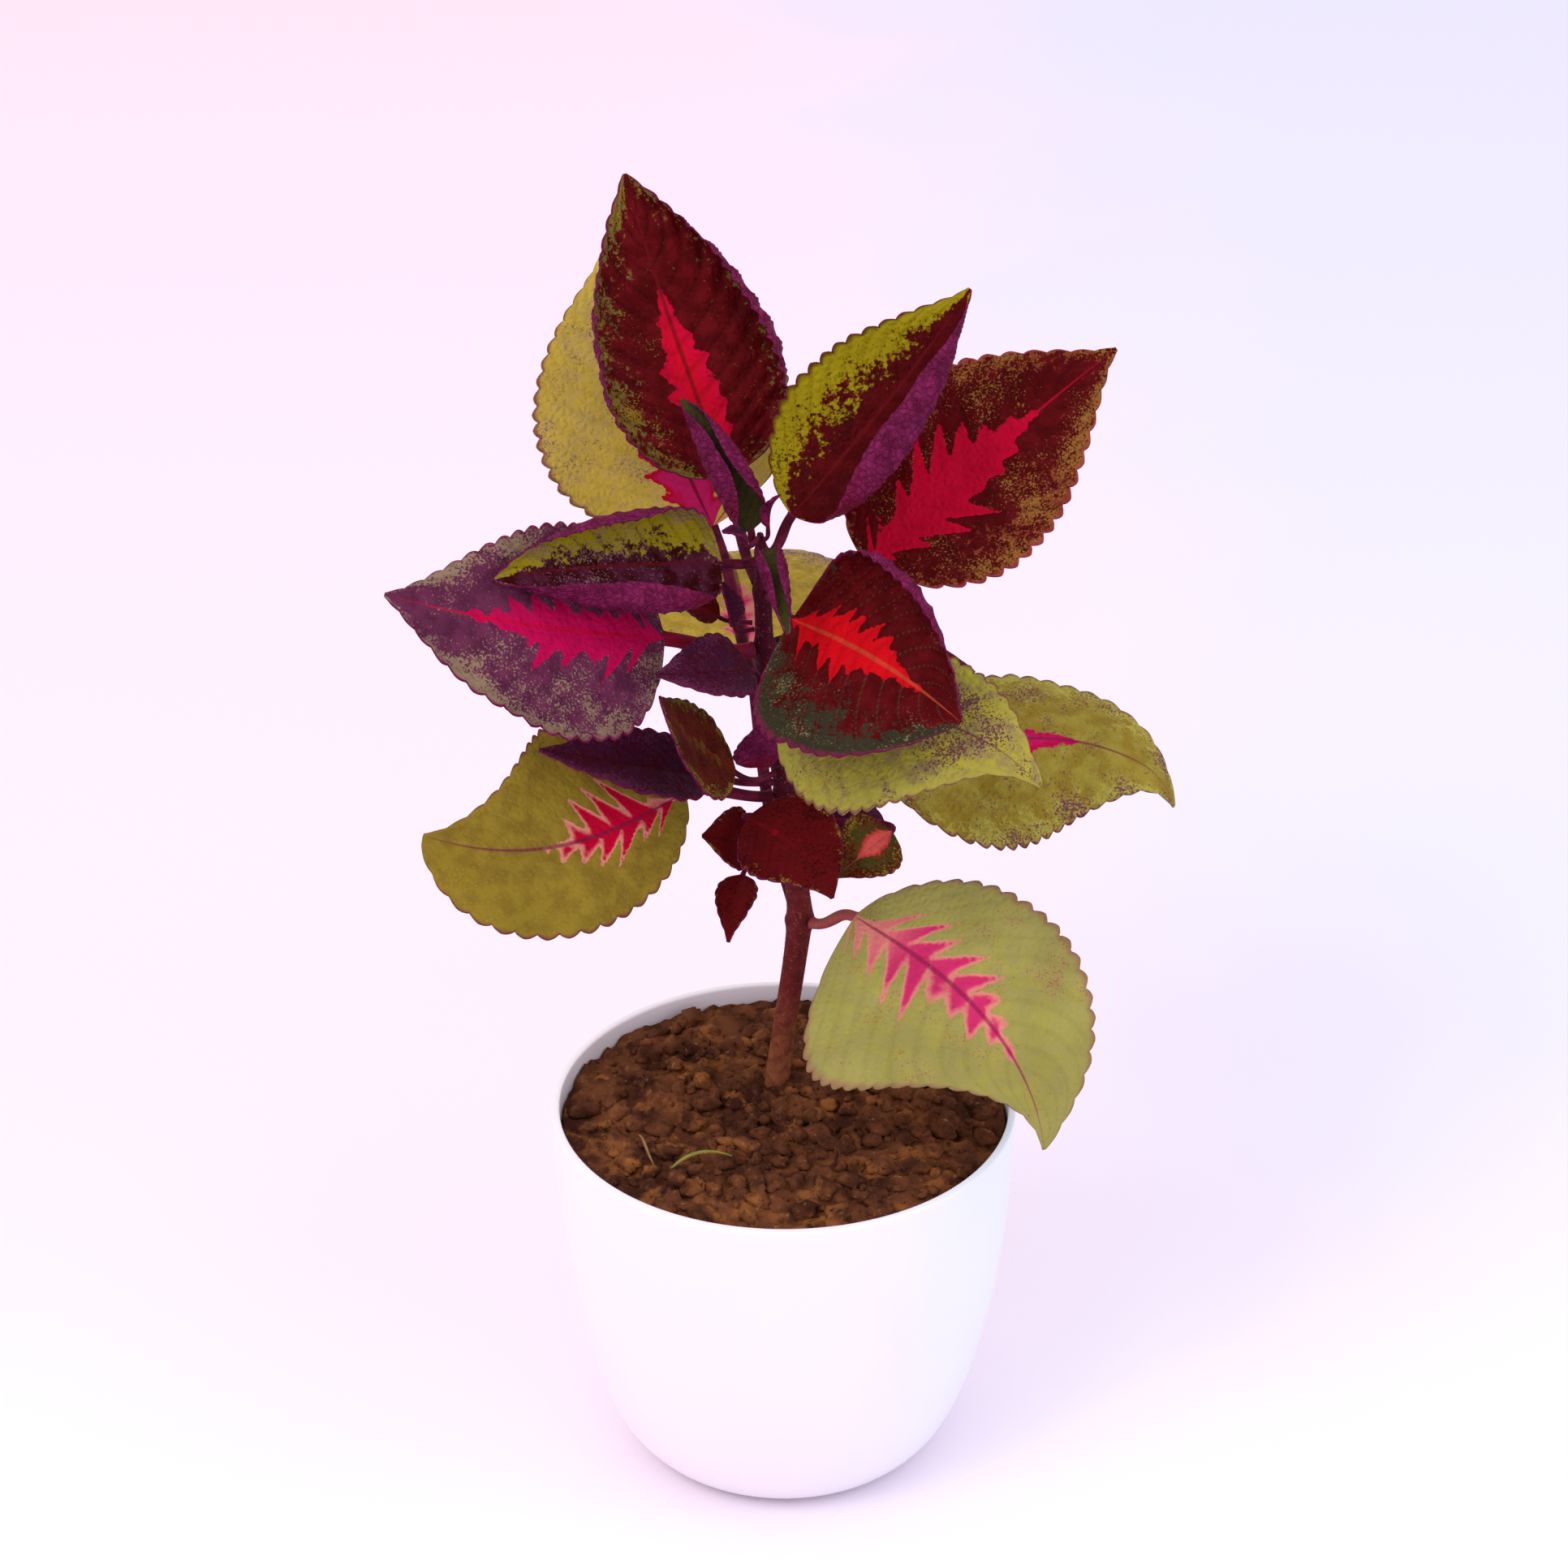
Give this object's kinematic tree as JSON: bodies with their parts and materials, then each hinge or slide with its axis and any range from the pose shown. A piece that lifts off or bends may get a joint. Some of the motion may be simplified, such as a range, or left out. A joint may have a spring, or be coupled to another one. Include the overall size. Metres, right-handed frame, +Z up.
{
  "type": "potted coleus",
  "caption": "Young coleus plant with large pointed toothed leaves in opposite pairs on one upright stem, in a plain round pot filled with soil.",
  "frame": {"origin": "centre of the flat underside of the pot", "axes": "+Z up along the pot's axis; the pictured front faces -Y; +X to the right in the picture"},
  "size_m": [0.1936, 0.1685, 0.3262],
  "materials": {
    "pot": "smooth, semi-gloss white",
    "soil": "dark brown crumbly soil",
    "stem": "dark crimson, faintly hairy",
    "dark_leaf": "dark maroon with red centre and green margin marks, purple underneath",
    "green_leaf": "yellow-green with pink centre, purple underneath"
  },
  "bodies": {
    "root": {"bud_left": "dark_leaf", "bud_right": "dark_leaf", "leaf_a": "dark_leaf", "leaf_b": "dark_leaf", "leaf_c": "dark_leaf", "leaf_d": "dark_leaf", "leaf_e": "dark_leaf", "leaf_f": "dark_leaf", "leaf_g": "dark_leaf", "leaf_h": "dark_leaf", "leaf_i": "green_leaf", "leaf_j": "green_leaf", "leaf_k": "green_leaf", "leaf_l": "green_leaf", "leaf_m": "green_leaf", "leaf_n": "dark_leaf", "leaf_r": "dark_leaf", "leaf_s": "dark_leaf", "leaf_t": "dark_leaf", "leaf_u": "dark_leaf", "leaf_v": "green_leaf", "leaf_w": "dark_leaf", "leaf_x": "dark_leaf", "leaf_y": "green_leaf", "pot": "pot", "shoot_n1": "dark_leaf", "shoot_n2": "dark_leaf", "shoot_o": "dark_leaf", "shoot_p": "dark_leaf", "shoot_q": "dark_leaf", "soil": "soil", "stem": "stem"}
  },
  "joints": []
}
